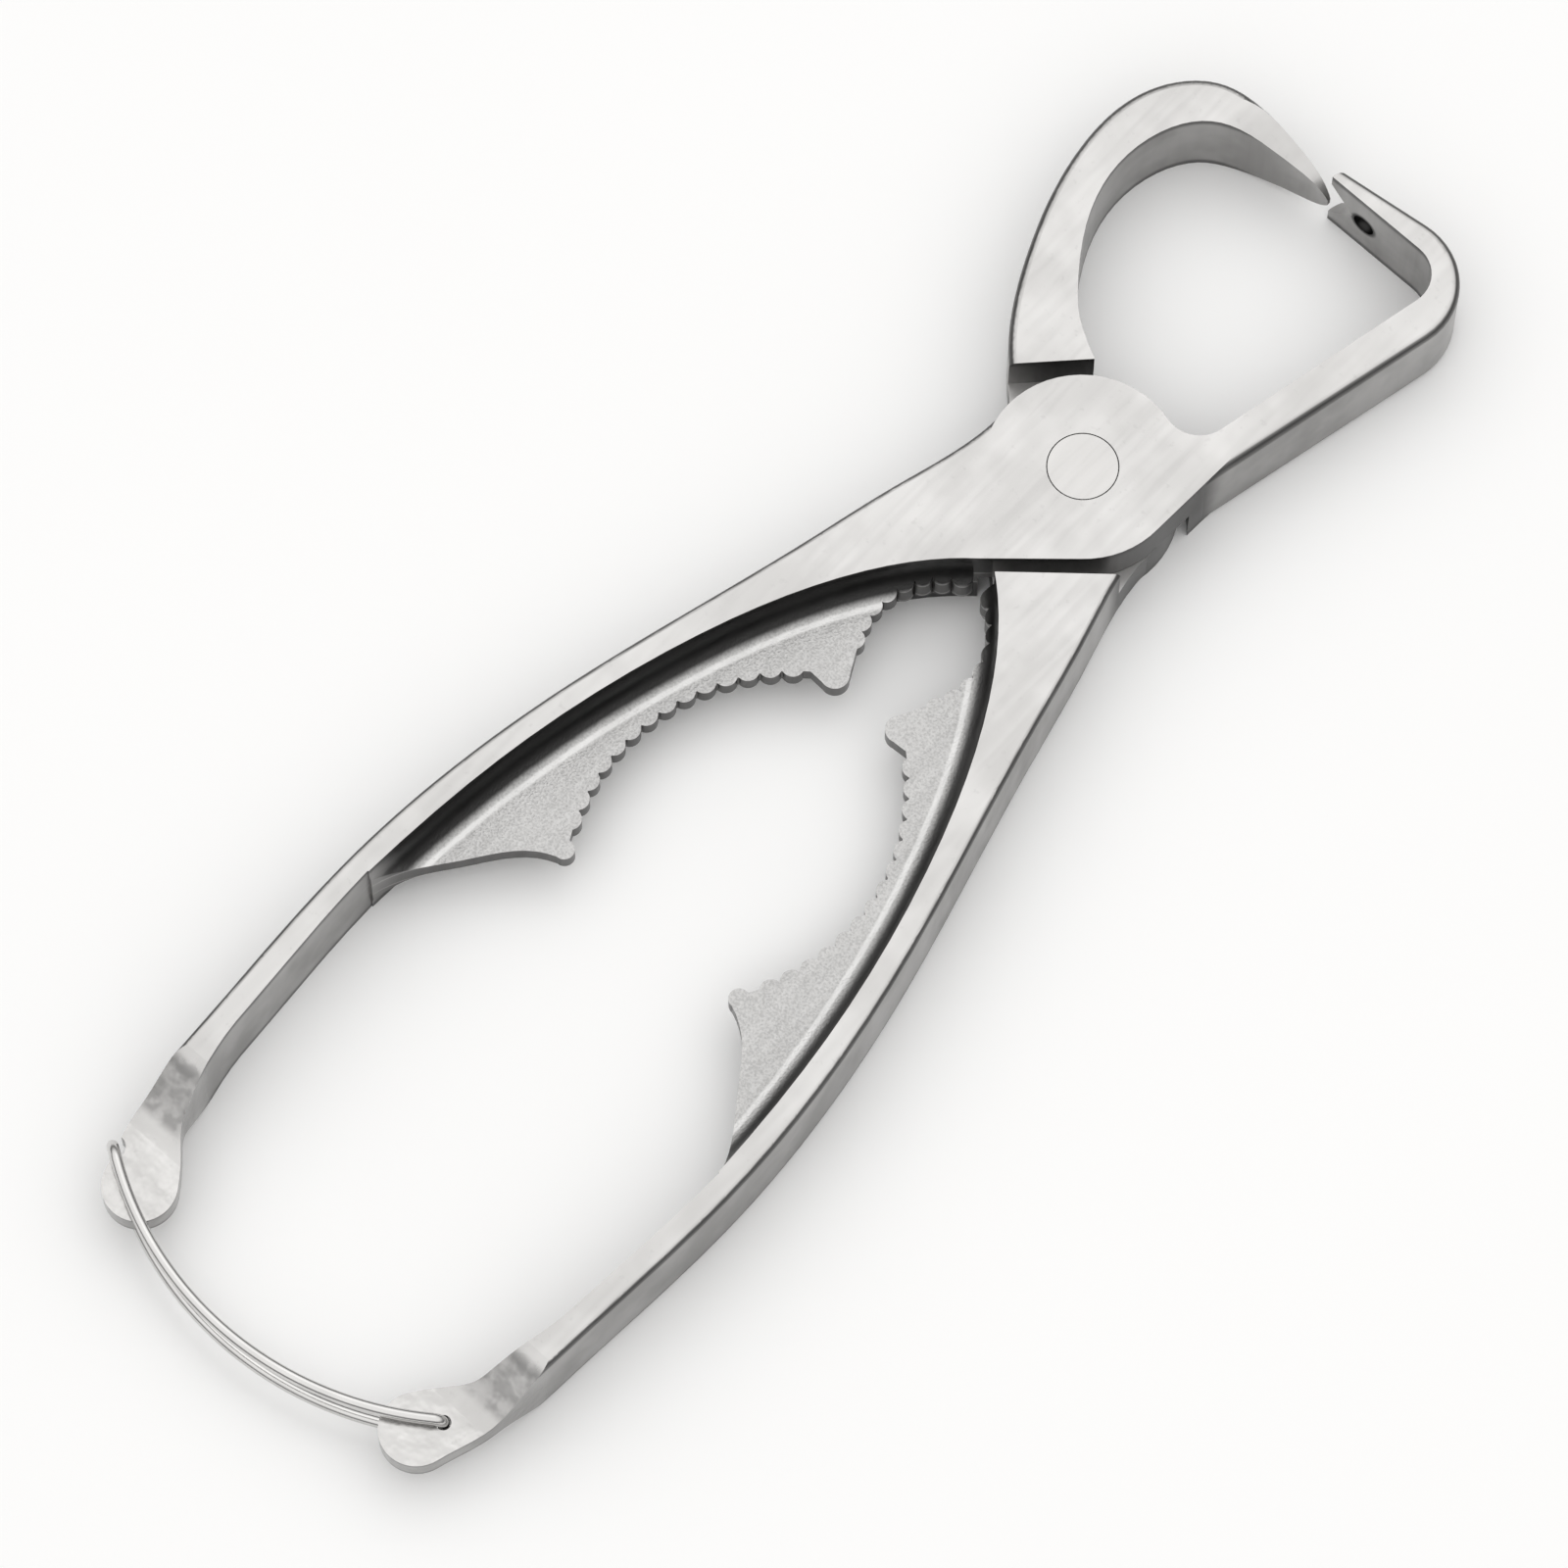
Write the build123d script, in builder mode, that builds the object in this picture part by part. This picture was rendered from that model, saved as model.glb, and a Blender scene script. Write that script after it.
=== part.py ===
"""Lobster cracker: two crossed cast levers, a flush pivot rivet and a wire locking bail.

Millimetres, +Z up.  The cracker lies flat on Z = 0 with its pivot on the Z axis, the jaws
towards +Y and the handles towards -Y.  The upper lever crosses over the lower one: its
handle is on -X and its hooked jaw on +X.  The two handles are mirror images.
"""
from build123d import *
from math import cos, radians, sin
import os

# Driving dimensions
thick = 12.0                # full thickness of both levers
mid = thick / 2             # plane where the two halved hubs meet
face_gap = 0.05             # running gap of each hub from that plane
hub_r = 12.3                # round hub about the pivot
web_thick = 2.3             # cast web inside each handle
cove_r = 3.6                # hollow between the rail and its web
rim_r = 0.7                 # rounding along the outer edges of the levers
crest_r = 1.0               # rounding along the outer edges of the jaws
tab_thick = 3.0             # flat tab at the end of each handle
tab_r = 4.6                 # its round end
ramp_len = 11.0             # swept ramp from the full thickness down to the tab

rivet_r = 3.5               # shank of the rivet
rivet_head_r = 4.5          # countersunk head, ground flush
rivet_head_h = 2.0
rivet_gap = 0.05            # running clearance in the lower lever
rivet_edge = 0.15           # broken edge that shows as a thin ring

wire_r = 0.72               # spring wire of the bail
hole_r = 0.95               # its hole in the lower lever's tab
notch_gap = 0.85            # room round the wire in the notch of the upper lever's tab
notch_shift = (0.4, -0.35)  # from the wire's bend to the notch's centre
strand_z = 2.55             # height of each strand above or below the middle plane
bail_pivot = (24.4, -141.2)
bail_hook = (-28.7, -142.2)  # where the bail turns round the upper lever's tab
bail_half_turn = 35.0       # degrees between the wire's ends and the straight line
bail_bend_r = 1.3           # bend of each wire end down into the hole
bail_end_gap = 0.25         # from each wire end to the middle plane

tab_centre = (22.6, -143.9)
ramp_top_y = -128.0         # where the ramp leaves the full thickness

# Outline of the right-hand handle; the left-hand one is its mirror image.
rail_outer = [(12.2, -1.5), (15.4, -17.0), (18.6, -30.0), (27.3, -63.5), (31.5, -98.0),
              (30.2, -124.0), (29.3, -137.0)]
rail_inner = [(3.9, -20.0), (12.2, -31.0), (20.5, -50.0), (26.4, -74.3), (28.6, -98.0),
              (27.3, -119.0), (24.4, -134.0)]
hub_tangent = (-8.1, -9.25)  # where the handle's inner edge leaves the hub

# Web of the right-hand handle: a long and a short row of rounded teeth about two centres
long_row = {"centre": (-9.3, -62.9), "peak_r": 27.0, "tooth_r": 1.45,
            "first": -25.0, "last": 47.5, "count": 14}
short_row = {"centre": (-2.75, -29.0), "peak_r": 9.55, "tooth_r": 1.35,
             "first": -29.0, "last": 62.0, "count": 8}
valley = 0.75               # depth of the web's plain edge behind the tooth peaks
nose_centre = (5.3, -39.4)  # rounded prong between the two rows
nose_r = 1.8
web_tip = (14.3, -78.3)
web_tip_r = 1.3

# Shoulders of the halved hub, as two points on each line, for the lower lever
handle_shoulder = [(2.2, -16.9), (13.4, -7.2)]
jaw_shoulder = [(-8.5, 11.8), (-15.0, 5.1)]
close_jaw_shoulder = [(-7.6, 10.9), (-14.1, 4.2)]  # the upper lever's, mirrored, is closer

# Fork at the tip of the hook, which the beak closes into
fork_tip_x = -3.0
hook_tip_y = 51.8           # outer corner of the hook's tip
fork_apex_x = 0.9
fork_half = 3.9             # half its height at the tip
prong_r = 1.3               # rounding of the hook's outer corner, seen from above
dent = (2.6, 50.0)          # hollow behind the fork
dent_r = 1.6


def handed(points, hand):
    """The points, mirrored to -X when hand is -1."""
    return [(hand * x, y) for x, y in points]


def on_circle(centre, radius, degrees):
    """The point at that angle on a circle."""
    return (centre[0] + radius * cos(radians(degrees)),
            centre[1] + radius * sin(radians(degrees)))


def extended(line, reach):
    """The two points of a line, each moved outwards by reach."""
    start, end = Vector(*line[0]), Vector(*line[1])
    along = (end - start).normalized() * reach
    return [(point.X, point.Y) for point in (start - along, end + along)]


def handle_outline(hand):
    """Sketch of one handle from the hub to its tab, seen from above."""
    with BuildSketch(mode=Mode.PRIVATE) as outline:
        with BuildLine():
            Spline(*handed(rail_outer, hand), tangents=[(0, -1), (-hand * 0.1, -1)],
                   tangent_scalars=[1, 1])
            Line(handed(rail_outer, hand)[-1], handed(rail_inner, hand)[-1])
            Spline(*handed(rail_inner, hand), tangents=[(hand * 0.75, -0.66), (-hand * 0.3, -1)])
            Polyline(*handed([rail_inner[0], hub_tangent, (0, 0), rail_outer[0]], hand))
        make_face()
    return outline.sketch


def tab_block(hand):
    """Solid of one tab's outline, a neck that narrows and ends in a round, at full thickness."""
    left, bottom = rail_inner[-1]
    inner_end, tip, outer_end = [on_circle(tab_centre, tab_r, a) for a in (146, -114, -15)]
    with BuildPart(mode=Mode.PRIVATE) as block:
        with BuildSketch():
            with BuildLine():
                Spline(*handed([(left, bottom), (21.9, -137.5), inner_end], hand),
                       tangents=[(-hand * 0.3, -1), (-hand * 0.56, -0.83)])
                ThreePointArc(*handed([inner_end, tip, outer_end], hand))
                Spline(*handed([outer_end, rail_outer[-1]], hand),
                       tangents=[(hand * 0.26, 0.97), (hand * 0.1, 1)])
                Polyline(*handed([rail_outer[-1], (left + 0.6, bottom + 1.5), (left, bottom)],
                                 hand))
            make_face()
        extrude(amount=thick)
    return block.part


def teeth(row, hand):
    """Sketch of the round teeth of one row."""
    step = (row["last"] - row["first"]) / (row["count"] - 1)
    spots = [on_circle(row["centre"], row["peak_r"] + row["tooth_r"], row["first"] + i * step)
             for i in range(row["count"])]
    with BuildSketch(mode=Mode.PRIVATE) as outline:
        with Locations(*handed(spots, hand)):
            Circle(row["tooth_r"])
    return outline.sketch


def web_outline(hand):
    """Sketch of one handle's web with its teeth, reaching well into the rail."""
    def edge(row, degrees):
        return on_circle(row["centre"], row["peak_r"] + valley, degrees)

    long_arc = handed([edge(long_row, a) for a in (-31, 10, 52)], hand)
    short_arc = handed([edge(short_row, a) for a in (-35, 15, 67)], hand)
    nose_sides = handed([on_circle(nose_centre, nose_r, a) for a in (-75, 140)], hand)
    with BuildSketch(mode=Mode.PRIVATE) as outline:
        with BuildLine():
            ThreePointArc(*long_arc)
            Polyline(long_arc[-1], *nose_sides, short_arc[0])
            ThreePointArc(*short_arc)
            Polyline(short_arc[-1], *handed([(3.2, -17.6), (13.5, -24.0), (25.0, -60.0),
                                             (29.3, -84.0), (30.0, -97.5), (28.2, -97.5)], hand))
            Spline(*handed([(28.2, -97.5), (22.3, -87.4), (web_tip[0], web_tip[1] - web_tip_r)],
                           hand), tangents=[(-hand * 0.25, 1), (-hand, 0.35)])
            Line(handed([(web_tip[0], web_tip[1] - web_tip_r)], hand)[0], long_arc[0])
        make_face()
        with Locations(handed([web_tip], hand)[0]):
            Circle(web_tip_r)
        with Locations(handed([nose_centre], hand)[0]):
            Circle(nose_r)
        add(teeth(long_row, hand))
        add(teeth(short_row, hand))
    return outline.sketch


def pocket(hand, side):
    """Solid that hollows one face of a handle down to its web, leaving a cove at the rail."""
    wall = handed([(1.2, -17.6)] + rail_inner[:4] + [(28.1, -90.0), (28.5, -98.6)], hand)
    away = handed([(28.5, -98.6), (-3.0, -98.6), (-3.0, -20.5), (1.2, -17.6)], hand)
    with BuildPart(mode=Mode.PRIVATE) as block:
        with BuildSketch(Plane.XY.offset(mid + side * web_thick / 2)):
            with BuildLine():
                Spline(*wall)
                Polyline(*away)
            make_face()
        extrude(amount=side * mid)
        foot = block.edges().filter_by(GeomType.BSPLINE).sort_by(Axis.Z)
        fillet(foot[0] if side == 1 else foot[-1], cove_r)
    return block.part


def hooked_jaw():
    """Sketch of the upper lever's jaw: a straight arm that bends round into a hook."""
    outer_bend, inner_bend = (23.1, 54.7), (16.9, 49.9)
    tips = [(fork_tip_x, hook_tip_y), (fork_tip_x, 50.2)]
    with BuildSketch(mode=Mode.PRIVATE) as outline:
        with BuildLine():
            Polyline((2.0, 0.0), (12.3, 0.0), (12.6, 8.5), outer_bend, *tips, inner_bend,
                     (7.6, 7.5), close=True)
        make_face()
        for bend, radius in ((outer_bend, 9.5), (inner_bend, 4.5)):
            fillet(outline.vertices().sort_by_distance(bend)[0], radius)
    return outline.sketch


def beaked_jaw():
    """Sketch of the lower lever's jaw: a crescent that narrows to a beak."""
    with BuildSketch(mode=Mode.PRIVATE) as outline:
        with BuildLine():
            Spline((-12.3, -1.0), (-16.0, 4.4), (-24.5, 17.5), (-29.1, 32.5), (-27.6, 45.0),
                   (-21.5, 51.0), (-13.0, 51.6), (-2.7, 49.9), tangents=[(-0.15, 1), (1, -0.35)])
            Line((-2.7, 49.9), (-2.7, 49.4))
            Spline((-2.7, 49.4), (-11.4, 48.5), (-19.5, 45.6), (-23.8, 36.5), (-21.6, 25.3),
                   (-15.5, 16.6), (-8.5, 11.8), tangents=[(-1, -0.02), (1, -0.5)])
            Polyline((-8.5, 11.8), (-5.0, 8.0), (-12.3, -1.0))
        make_face()
    return outline.sketch


def outer_edges(part, points, reach=0.6):
    """Edges on the top and bottom faces that pass through one of the points."""
    chosen = []
    for height in (0, thick):
        flat = [e for e in part.edges() if abs(e.bounding_box().min.Z - height) < 0.01
                and e.bounding_box().size.Z < 0.01]
        for x, y in points:
            near = min(flat, key=lambda e: e.distance_to(Vertex(x, y, height)))
            if near.distance_to(Vertex(x, y, height)) < reach and near not in chosen:
                chosen.append(near)
    return chosen


def hub_clearance(handle_line, jaw_line, low, high):
    """Solid that halves a hub: all between the two shoulder lines, from low to high."""
    with BuildPart(mode=Mode.PRIVATE) as block:
        with BuildSketch(Plane.XY.offset(low)):
            with BuildLine():
                Polyline(*extended(handle_line, 14), *extended(jaw_line, 14), close=True)
            make_face()
        extrude(amount=high - low)
    return block.part


def ramp_cutter(hand, side):
    """Solid above (side 1) or below (side -1) a tab, with the swept ramp up to the rail."""
    foot, top = mid + side * tab_thick / 2, mid + side * (mid + 0.02)
    ramp = [(ramp_top_y, top), (ramp_top_y - ramp_len, foot)]
    with BuildPart(mode=Mode.PRIVATE) as block:
        with BuildSketch(Plane.YZ.offset(hand * 34 - 20)):
            with BuildLine():
                Spline(*ramp, tangents=[(-1, -side * 0.12), (-1, 0)])
                Polyline(ramp[1], (-155, foot), (-155, top + side), (ramp_top_y, top + side),
                         ramp[0])
            make_face()
        extrude(amount=40)
    return block.part


def fork_cutter():
    """Solid of the fork's gap and of the small hollow behind it."""
    with BuildPart(mode=Mode.PRIVATE) as block:
        with BuildSketch(Plane.XZ.offset(-48.5)):
            with BuildLine():
                Polyline((fork_tip_x - 1, mid - fork_half), (fork_tip_x, mid - fork_half),
                         (fork_apex_x, mid), (fork_tip_x, mid + fork_half),
                         (fork_tip_x - 1, mid + fork_half), close=True)
            make_face()
        extrude(amount=-5)
        with Locations((*dent, mid)):
            Sphere(dent_r)
    return block.part


def prong_corner():
    """Solid that rounds the outer corner of the hook's square tip."""
    x, y = fork_tip_x, hook_tip_y
    with BuildPart(mode=Mode.PRIVATE) as block:
        with BuildSketch():
            with BuildLine():
                ThreePointArc((x, y - prong_r), (x + 0.3 * prong_r, y - 0.3 * prong_r),
                              (x + prong_r, y + 0.45 * prong_r))
                Polyline((x + prong_r, y + 0.45 * prong_r), (x - 1, y + 2), (x - 1, y - prong_r),
                         (x, y - prong_r))
            make_face()
        extrude(amount=thick)
    return block.part


def rivet_solid(gap):
    """The rivet's solid, larger all round by gap: a shank between two flush cone heads."""
    with BuildPart(mode=Mode.PRIVATE) as body:
        with BuildSketch(Plane.XZ):
            with BuildLine():
                Polyline((0, 0), (rivet_head_r + gap, 0), (rivet_r + gap, rivet_head_h),
                         (rivet_r + gap, thick - rivet_head_h), (rivet_head_r + gap, thick),
                         (0, thick), close=True)
            make_face()
        revolve(axis=Axis.Z)
    return body.part


# The hub is halved on the opposite faces of the two levers, so the lower lever's shoulders
# are mirrored for the upper one.
upper_handle_shoulder = handed(handle_shoulder, -1)
upper_jaw_shoulder = handed(close_jaw_shoulder, -1)

# Pieces of the two castings that are made ahead: index 1 is the right hand, -1 the left
handles = {hand: handle_outline(hand) for hand in (1, -1)}
tabs = {hand: tab_block(hand) for hand in (1, -1)}
webs = {hand: web_outline(hand) for hand in (1, -1)}
pockets = {hand: [pocket(hand, side) for side in (1, -1)] for hand in (1, -1)}
ramps = {hand: [ramp_cutter(hand, side) for side in (1, -1)] for hand in (1, -1)}
hook, beak = hooked_jaw(), beaked_jaw()
upper_half_gap = hub_clearance(handle_shoulder, jaw_shoulder, mid - face_gap, thick + 1)
lower_half_gap = hub_clearance(upper_handle_shoulder, upper_jaw_shoulder, -1, mid + face_gap)
fork, tip_corner = fork_cutter(), prong_corner()
rivet_blank = rivet_solid(0)
rivet_space = rivet_solid(rivet_gap)

# Upper lever: handle on -X, hub in the upper half, hooked jaw on +X
with BuildPart() as upper_lever:
    with BuildSketch() as plan:
        Circle(hub_r)
        add([handles[-1], webs[-1], hook])
        fillet(plan.vertices().sort_by_distance((8.2, 9.4))[0], 4.5)
    extrude(amount=thick)
    add(pockets[-1], mode=Mode.SUBTRACT)
    fillet(outer_edges(upper_lever.part, [(17.0, 27.8), (20.3, 51.4), (4.0, 52.6)], reach=1.5),
           crest_r)
    fillet(outer_edges(upper_lever.part, handed([(27.3, -63.5)], -1)), rim_r)
    add(tabs[-1])
    add([lower_half_gap, *ramps[-1], rivet_blank], mode=Mode.SUBTRACT)
    # Notch that the bail hooks into
    with Locations((bail_hook[0] + notch_shift[0], bail_hook[1] + notch_shift[1])):
        Cylinder(radius=wire_r + notch_gap, height=40, mode=Mode.SUBTRACT)
    add([fork, tip_corner], mode=Mode.SUBTRACT)
upper_lever.part.label = "upper_lever"

# Lower lever: handle on +X, hub in the lower half, beaked jaw on -X
with BuildPart() as lower_lever:
    with BuildSketch():
        Circle(hub_r)
        add([handles[1], webs[1], beak])
    extrude(amount=thick)
    add(pockets[1], mode=Mode.SUBTRACT)
    fillet(outer_edges(lower_lever.part, [(-29.1, 32.5)]), crest_r)
    fillet(outer_edges(lower_lever.part, [(27.3, -63.5)]), rim_r)
    add(tabs[1])
    add([upper_half_gap, *ramps[1], rivet_space], mode=Mode.SUBTRACT)
    for side in (1, -1):
        # The crescent thins out towards the point of the beak
        with BuildSketch(Plane.XZ.offset(-60)):
            with BuildLine():
                Spline((-19.0, mid + side * (mid + 0.02)), (-9.0, mid + side * 3.9),
                       (-2.5, mid + side * 0.2), tangents=[(1, 0), (0.45, -side)])
                Polyline((-2.5, mid + side * 0.2), (-1.0, mid + side * 0.2),
                         (-1.0, mid + side * 8), (-19.0, mid + side * 8),
                         (-19.0, mid + side * (mid + 0.02)))
            make_face()
        extrude(amount=40, mode=Mode.SUBTRACT)
    with Locations(bail_pivot):
        Cylinder(radius=hole_r, height=40, mode=Mode.SUBTRACT)
lower_lever.part.label = "lower_lever"

# Rivet, pressed into the upper lever and free to turn in the lower one
with BuildPart() as pivot_rivet:
    add(rivet_blank)
    chamfer(pivot_rivet.edges().filter_by(GeomType.CIRCLE).group_by(Axis.Z)[0]
            + pivot_rivet.edges().filter_by(GeomType.CIRCLE).group_by(Axis.Z)[-1], rivet_edge)
pivot_rivet.part.label = "pivot_rivet"


def bail_half(side):
    """One half of the bail's line, from its end in the hole to the middle of the U-bend.

    side is 1 for the strand above the tabs and -1 for the one below."""
    level = mid + side * strand_z
    pivot, turn = Vector(*bail_pivot, 0), Vector(*bail_hook, 0)
    chord = turn - pivot
    leave = chord.normalized().rotate(Axis.Z, bail_half_turn)
    arrive = chord.normalized().rotate(Axis.Z, -bail_half_turn)
    up = Vector(0, 0, 1)
    start = pivot + leave * bail_bend_r + up * level
    end = turn - arrive * strand_z + up * level
    bend_low = pivot + up * (level - side * bail_bend_r)
    bend_centre = start - up * side * bail_bend_r
    strand = TangentArc(start, end, tangent=leave, mode=Mode.PRIVATE)
    far = end + (strand % 1) * strand_z
    return [
        Line(pivot + up * (mid + side * bail_end_gap), bend_low),
        ThreePointArc(bend_low, bend_centre + (up * side - leave).normalized() * bail_bend_r, start),
        TangentArc(start, end, tangent=leave),
        ThreePointArc(end, end - up * side * strand_z + (strand % 1 + up * side).normalized()
                      * strand_z, far - up * side * strand_z),
    ]


# Bail, turning in the lower lever's tab: one spring wire with a strand above and a strand
# below the tabs, joined by a U-bend round the upper lever's tab.  Its two ends bend in
# towards each other in the hole.
with BuildPart() as locking_bail:
    with BuildLine() as wire_line:
        bail_half(1)
        bail_half(-1)
    with BuildSketch(Plane(origin=(*bail_pivot, mid + bail_end_gap), z_dir=(0, 0, 1))):
        Circle(wire_r)
    sweep()
locking_bail.part.label = "locking_bail"

os.makedirs("parts", exist_ok=True)
for piece in (upper_lever, lower_lever, pivot_rivet, locking_bail):
    export_step(piece.part, f"parts/{piece.part.label}.step")
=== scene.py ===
"""Studio scene of the lobster cracker: materials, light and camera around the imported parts."""
import math
from types import SimpleNamespace

import bpy
from mathutils import Matrix, Vector


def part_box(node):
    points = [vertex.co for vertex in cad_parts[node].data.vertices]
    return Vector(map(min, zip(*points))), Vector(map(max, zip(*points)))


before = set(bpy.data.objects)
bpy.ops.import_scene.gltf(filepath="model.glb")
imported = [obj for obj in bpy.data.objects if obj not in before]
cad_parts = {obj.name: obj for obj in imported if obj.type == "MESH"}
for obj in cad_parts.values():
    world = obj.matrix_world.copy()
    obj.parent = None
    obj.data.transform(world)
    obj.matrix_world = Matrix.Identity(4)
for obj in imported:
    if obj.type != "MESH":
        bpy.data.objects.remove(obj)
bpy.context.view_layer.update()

MM = 0.001
lever_low, lever_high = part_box("lower_lever")
MID = (lever_low.z + lever_high.z) / 2      # plane between the two halved hubs
TOP = lever_high.z                          # flat top faces
HALF = TOP - MID                            # half the levers' thickness
WEB_HALF = 1.15 * MM                        # half the webs' thickness
WEB_START, WEB_END = -0.096, -0.014         # the webs' ends in Y
TAB_START = -0.129                          # near the top of the ramps down to the tabs
THIN_START = TAB_START - 7 * MM             # the painted dark reflection line round the tabs starts here
HUB_END = 0.0175                            # the painted shade on the walls around the hub stops this far out
DENT = (0.0026, 0.0500, MID)                # hollow behind the fork of the hooked jaw, painted in shade
DENT_RADIUS = 1.7 * MM

BRUSHED = (900, 60, 60)                     # how fine the ground faces' lines are, by axis
DRAWN = (60, 60, 2500)                      # the same for the lines along the wire


def rgb(level, warmth=0.0):
    """A grey, a little warmer than neutral."""
    return (level * (1 + warmth), level, level * (1 - warmth), 1.0)


FACE_GREYS = rgb(0.50, 0.014), rgb(0.57, 0.012)
# painted shade: the side walls are the same steel as the top faces, greyed darker
WALL_SHADE_GREYS = rgb(0.29, 0.016), rgb(0.40, 0.012)
WEB_GREYS = rgb(0.43, 0.006), rgb(0.58, 0.006)
COVE_SHADE_GREYS = rgb(0.045, 0.01), rgb(0.12, 0.01)      # painted shade in the coves: left handle, right handle
RIVET_GREYS = rgb(0.51, 0.016), rgb(0.56, 0.014)
WIRE_GREYS = rgb(0.55, 0.012), rgb(0.68, 0.012)
CARD_WHITES = rgb(0.93), rgb(0.95)
# painted highlight where the coves meet the webs
RIDGE_HIGHLIGHT_GREY = rgb(0.72, 0.005)
SPECK_GREY = rgb(0.38, 0.01)
# painted shade on the ramps down to the tabs
SLOPE_SHADE_GREY = rgb(0.22, 0.012)
# painted dark reflection along the edges
RIM_REFLECTION_GREY = rgb(0.06, 0.01)
# painted shade on the walls of the serrated web edges
TEETH_SHADE_GREY = rgb(0.05, 0.01)
# painted shade in the gaps round the hub and in the hollow behind the fork
HOLLOW_SHADE_GREY = rgb(0.03, 0.01)


# ---------------------------------------------------------------- node helpers

class Nodes:
    """A material's node tree, with short calls for the nodes used here."""

    def __init__(self, name, metallic=1.0):
        self.material = bpy.data.materials.new(name)
        self.material.use_nodes = True
        self.tree = self.material.node_tree
        self.tree.nodes.clear()
        self.shader = self.tree.nodes.new("ShaderNodeBsdfPrincipled")
        self.shader.inputs["Metallic"].default_value = metallic
        output = self.tree.nodes.new("ShaderNodeOutputMaterial")
        self.link(self.shader.outputs[0], output.inputs[0])
        self.place = self.tree.nodes.new("ShaderNodeTexCoord").outputs["Object"]
        self.facing = self.tree.nodes.new("ShaderNodeTexCoord").outputs["Normal"]

    def link(self, source, target):
        """Join an output to an input, or set the input to a plain value."""
        if isinstance(source, (int, float, tuple)):
            target.default_value = source
        else:
            self.tree.links.new(source, target)

    def shade(self, colour, roughness, normal=None):
        """Feed the shader."""
        self.link(colour, self.shader.inputs["Base Color"])
        self.link(roughness, self.shader.inputs["Roughness"])
        if normal is not None:
            self.link(normal, self.shader.inputs["Normal"])

    def math(self, operation, a, b=0.0):
        node = self.tree.nodes.new("ShaderNodeMath")
        node.operation = operation
        self.link(a, node.inputs[0])
        self.link(b, node.inputs[1])
        return node.outputs[0]

    def product(self, first, *others):
        """All the values multiplied together."""
        for other in others:
            first = self.math("MULTIPLY", first, other)
        return first

    def distance(self, vector, point):
        node = self.tree.nodes.new("ShaderNodeVectorMath")
        node.operation = "DISTANCE"
        self.link(vector, node.inputs[0])
        node.inputs[1].default_value = point
        return node.outputs["Value"]

    def axis(self, vector, letter):
        node = self.tree.nodes.new("ShaderNodeSeparateXYZ")
        self.link(vector, node.inputs[0])
        return node.outputs[letter]

    def ramp(self, value, low, high, start=0.0, end=1.0):
        """value from low to high becomes start to end, smoothly, and is held outside."""
        node = self.tree.nodes.new("ShaderNodeMapRange")
        node.interpolation_type = "SMOOTHSTEP"
        for source, key in ((value, "Value"), (low, "From Min"), (high, "From Max"),
                            (start, "To Min"), (end, "To Max")):
            self.link(source, node.inputs[key])
        return node.outputs[0]

    def stretch(self, scale, turn=0.0):
        node = self.tree.nodes.new("ShaderNodeMapping")
        self.link(self.place, node.inputs["Vector"])
        node.inputs["Rotation"].default_value = (0, 0, turn)
        node.inputs["Scale"].default_value = scale
        return node.outputs[0]

    def noise(self, vector, scale, detail=4.0, roughness=0.5):
        node = self.tree.nodes.new("ShaderNodeTexNoise")
        self.link(vector, node.inputs["Vector"])
        node.inputs["Scale"].default_value = scale
        node.inputs["Detail"].default_value = detail
        node.inputs["Roughness"].default_value = roughness
        return node.outputs[0]

    def mix(self, amount, a, b):
        """Colour between a and b."""
        node = self.tree.nodes.new("ShaderNodeMix")
        node.data_type = "RGBA"
        self.link(amount, node.inputs[0])
        self.link(a, node.inputs[6])
        self.link(b, node.inputs[7])
        return node.outputs[2]

    def bump(self, height, distance, strength=1.0, below=None):
        node = self.tree.nodes.new("ShaderNodeBump")
        node.inputs["Distance"].default_value = distance
        self.link(strength, node.inputs["Strength"])
        self.link(height, node.inputs["Height"])
        if below is not None:
            self.link(below, node.inputs["Normal"])
        return node.outputs[0]


# ---------------------------------------------------------------- cast steel of the levers

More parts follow.
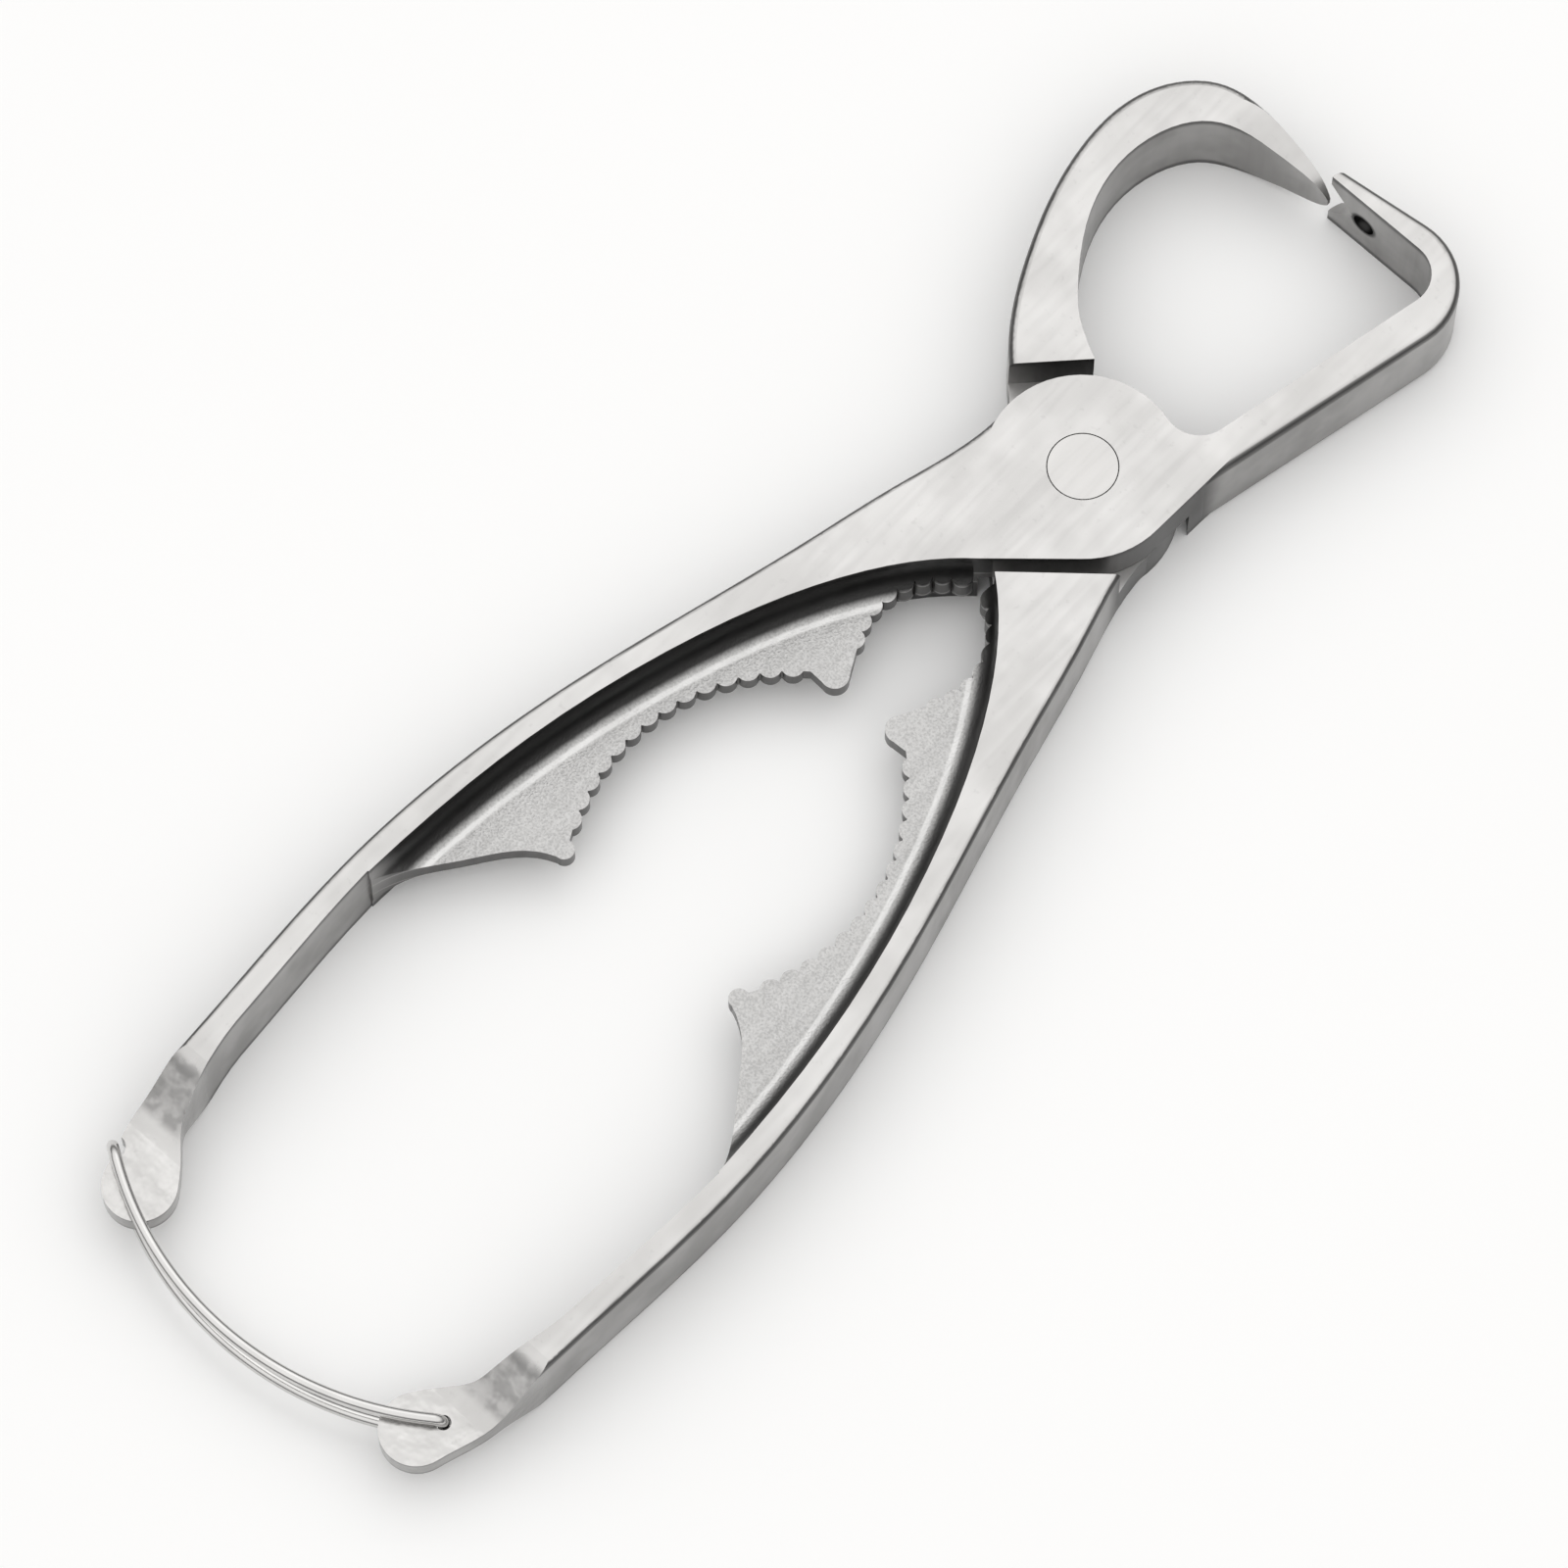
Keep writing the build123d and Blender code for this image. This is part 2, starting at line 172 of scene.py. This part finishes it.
def lever_zones(n):
    """Masks of the levers' surface, each 1 inside its zone and 0 outside."""
    x, y, z = (n.axis(n.place, letter) for letter in "XYZ")
    # height is measured from the middle plane, so the top and the underside look alike
    height = n.math("ABSOLUTE", n.math("SUBTRACT", z, MID))
    upward = n.math("ABSOLUTE", n.axis(n.facing, "Z"))
    inward = n.product(n.math("SIGN", x), n.axis(n.facing, "X"))
    reach = n.math("POWER", n.math("ADD", n.product(x, x), n.product(y, y)), 0.5)
    along_web = n.product(n.ramp(y, WEB_START - 4 * MM, WEB_START + 4 * MM),
                          n.ramp(y, WEB_END, WEB_END - 4 * MM))
    tab = n.ramp(y, TAB_START + 1 * MM, TAB_START - 2 * MM)
    # the levers' edges are rounded over and the tabs' are sharp, but all get a painted dark
    # reflection line
    lever_edge = n.ramp(height, HALF - 1.3 * MM, HALF - 0.5 * MM)
    tab_edge = n.product(n.ramp(height, 0.9 * MM, 1.4 * MM),
                         n.ramp(y, THIN_START, THIN_START - 3 * MM))
    return SimpleNamespace(
        tab=tab,
        right_handle=n.ramp(x, -1 * MM, 1 * MM),
        wall=n.ramp(upward, 0.97, 0.70),
        flat=n.product(n.ramp(height, HALF - 0.8 * MM, HALF - 0.1 * MM),
                       n.ramp(upward, 0.8, 0.98)),
        web=n.product(n.ramp(height, WEB_HALF + 1.45 * MM, WEB_HALF + 0.15 * MM),
                      n.ramp(upward, 0.35, 0.8), along_web),
        cove=n.product(n.ramp(inward, 0.35, 0.05),
                       n.ramp(height, HALF - 0.05 * MM, HALF - 0.4 * MM), along_web,
                       n.ramp(height, WEB_HALF + 0.07 * MM, WEB_HALF + 0.6 * MM)),
        teeth=n.product(n.ramp(height, WEB_HALF + 0.15 * MM, WEB_HALF - 0.05 * MM),
                        n.ramp(upward, 0.8, 0.4), along_web, n.ramp(inward, 0.6, 0.3)),
        ridge=n.product(n.ramp(height, WEB_HALF + 0.005 * MM, WEB_HALF + 0.04 * MM),
                        n.ramp(height, WEB_HALF + 0.17 * MM, WEB_HALF + 0.07 * MM),
                        along_web, n.ramp(upward, 0.8, 0.95)),
        hub=n.product(n.ramp(reach, HUB_END, HUB_END - 3 * MM), n.ramp(upward, 0.8, 0.4)),
        slope=n.product(tab, n.ramp(upward, 0.985, 0.93)),
        rim=n.product(n.math("MAXIMUM", lever_edge, tab_edge), n.ramp(upward, 0.97, 0.85)),
        dent=n.ramp(n.distance(n.place, DENT), DENT_RADIUS + 0.6 * MM, DENT_RADIUS))


def lever_relief(n):
    """The fine unevenness of the castings, as noises by name."""
    return SimpleNamespace(
        brushed=n.noise(n.stretch(BRUSHED, 0.6), 1.0, 3.0, 0.55),
        clouds=n.noise(n.place, 90, 3.0, 0.55),
        specks=n.noise(n.place, 900, 2.0, 0.6),
        pebbles=n.noise(n.place, 3400, 2.0, 0.55),
        dents=n.noise(n.place, 420, 2.0, 0.5))


def lever_colour(n, zone, relief):
    """Grey steel with light painted in by place: shade on walls, ramps, coves, teeth, hub and
    hollow, dark edge reflections, a ridge highlight.
    """
    cloudy = n.ramp(relief.clouds, 0.35, 0.65)
    speckled = n.product(n.ramp(relief.specks, 0.62, 0.75), 0.25)
    # painted shade on the ramps, made patchy by the dents noise
    slope_shade = n.product(zone.slope, n.ramp(relief.dents, 0.40, 0.56, 0.35, 0.8))
    sandy = n.mix(n.ramp(relief.pebbles, 0.30, 0.66), *WEB_GREYS)
    grey = n.mix(speckled, n.mix(cloudy, *FACE_GREYS), SPECK_GREY)
    for amount, colour in ((n.product(zone.web, 0.85), sandy),
                           (slope_shade, SLOPE_SHADE_GREY),
                           # painted shade on the side walls
                           (zone.wall, n.mix(cloudy, *WALL_SHADE_GREYS)),
                           # painted dark reflection along the edges
                           (n.product(zone.rim, 0.75), RIM_REFLECTION_GREY),
                           # painted shade in the coves beside the webs
                           (zone.cove, n.mix(zone.right_handle, *COVE_SHADE_GREYS)),
                           # painted shade on the teeth's walls
                           (n.product(zone.teeth, 0.8), TEETH_SHADE_GREY),
                           # painted shade on the walls around the hub
                           (n.product(zone.hub, 0.85), HOLLOW_SHADE_GREY),
                           # painted highlight along the webs' ridges
                           (zone.ridge, RIDGE_HIGHLIGHT_GREY),
                           # painted shade in the hollow behind the fork
                           (zone.dent, HOLLOW_SHADE_GREY)):
        grey = n.mix(amount, grey, colour)
    return grey


def cast_steel():
    """Satin cast steel: ground flat faces, pebbled webs in the handles, polished tabs."""
    n = Nodes("cast_steel")
    zone = lever_zones(n)
    relief = lever_relief(n)
    rough = n.ramp(relief.brushed, 0.3, 0.7, 0.30, 0.40)
    rough = n.math("ADD", rough, n.product(zone.web, 0.12))
    rough = n.math("SUBTRACT", rough, n.product(zone.tab, 0.14))
    normal = n.bump(relief.brushed, 0.006 * MM, n.product(zone.flat, 0.35))
    normal = n.bump(relief.pebbles, 0.12 * MM, n.product(zone.web, 0.9), normal)
    normal = n.bump(relief.dents, 0.25 * MM, n.product(zone.tab, 0.5), normal)
    normal = n.bump(relief.clouds, 0.12 * MM, 0.25, normal)
    n.shade(lever_colour(n, zone, relief), rough, normal)
    return n.material


# ---------------------------------------------------------------- other materials

def ground_steel():
    """The rivet's head: ground flush with the lever, so as satin as its top face."""
    n = Nodes("ground_steel")
    brushed = n.noise(n.stretch(BRUSHED, 0.5), 1.0, 3.0, 0.55)
    clouds = n.noise(n.place, 150, 3.0, 0.55)
    n.shade(n.mix(clouds, *RIVET_GREYS), n.ramp(brushed, 0.3, 0.7, 0.28, 0.38),
            n.bump(brushed, 0.02 * MM, 0.35))
    return n.material


def wire_steel():
    """Bright drawn wire with faint lines along it."""
    n = Nodes("wire_steel")
    drawn = n.noise(n.stretch(DRAWN), 1.0, 2.0, 0.5)
    clouds = n.noise(n.place, 200, 2.0, 0.5)
    n.shade(n.mix(clouds, *WIRE_GREYS), n.ramp(drawn, 0.3, 0.7, 0.14, 0.24),
            n.bump(drawn, 0.01 * MM, 0.3))
    return n.material


def studio_floor():
    """Plain white card."""
    n = Nodes("studio_floor", metallic=0.0)
    n.shade(n.mix(n.noise(n.place, 8), *CARD_WHITES), 0.9)
    return n.material


def apply_materials():
    """Give each CAD node its material."""
    steel = cast_steel()
    for name, material in (("upper_lever", steel), ("lower_lever", steel),
                           ("pivot_rivet", ground_steel()), ("locking_bail", wire_steel())):
        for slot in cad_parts[name].material_slots:
            slot.material = material


# ---------------------------------------------------------------- floor, light, camera

def add_floor():
    bpy.ops.mesh.primitive_plane_add(size=6.0, location=(0, 0, 0))
    floor = bpy.context.object
    floor.name = "floor"
    floor.data.materials.append(studio_floor())


def add_light(name, place, aim, size, power):
    """A square soft light that looks from place at aim."""
    lamp = bpy.data.lights.new(name, "AREA")
    lamp.size = size
    lamp.energy = power
    item = bpy.data.objects.new(name, lamp)
    item.location = place
    item.rotation_euler = (Vector(aim) - Vector(place)).to_track_quat("-Z", "Y").to_euler()
    bpy.context.scene.collection.objects.link(item)


def add_world():
    """Soft surround: bright overhead and darker towards the horizon."""
    world = bpy.data.worlds.new("studio")
    world.use_nodes = True
    tree = world.node_tree
    coord = tree.nodes.new("ShaderNodeTexCoord")
    split = tree.nodes.new("ShaderNodeSeparateXYZ")
    ramp = tree.nodes.new("ShaderNodeMapRange")
    ramp.interpolation_type = "SMOOTHSTEP"
    tree.links.new(coord.outputs["Generated"], split.inputs[0])
    tree.links.new(split.outputs["Z"], ramp.inputs["Value"])
    for key, value in (("From Min", 0.15), ("From Max", 0.75), ("To Min", 0.22), ("To Max", 1.25)):
        ramp.inputs[key].default_value = value
    tree.links.new(ramp.outputs[0], tree.nodes["Background"].inputs["Strength"])
    tree.nodes["Background"].inputs["Color"].default_value = (1.0, 0.995, 0.985, 1.0)
    bpy.context.scene.world = world


def add_camera():
    """A long lens high over the table, with the jaws up and to the right in its view."""
    azimuth, elevation = math.radians(42.2), math.radians(68.5)
    right = Vector((math.cos(azimuth), math.sin(azimuth), 0))
    ahead = Vector((-math.sin(azimuth) * math.cos(elevation),
                    math.cos(azimuth) * math.cos(elevation), -math.sin(elevation)))
    up = right.cross(ahead)
    pivot = Vector((0, 0, TOP))
    away, aside, above = 1.0804, 0.0366, 0.0389     # the pivot as the camera sees it
    camera = bpy.data.cameras.new("camera")
    camera.sensor_width = 36
    camera.lens = 202.5
    camera.clip_end = 50
    item = bpy.data.objects.new("camera", camera)
    turn = Matrix((right, up, -ahead)).transposed().to_4x4()
    place = pivot - ahead * away - right * aside - up * above
    item.matrix_world = Matrix.Translation(place) @ turn
    bpy.context.scene.collection.objects.link(item)
    bpy.context.scene.camera = item


apply_materials()
add_floor()
add_world()
add_light("overhead", place=(-0.25, 0.35, 0.9), aim=(0, -0.04, 0), size=0.55, power=0.3)
add_camera()
bpy.context.scene.view_settings.view_transform = "Standard"
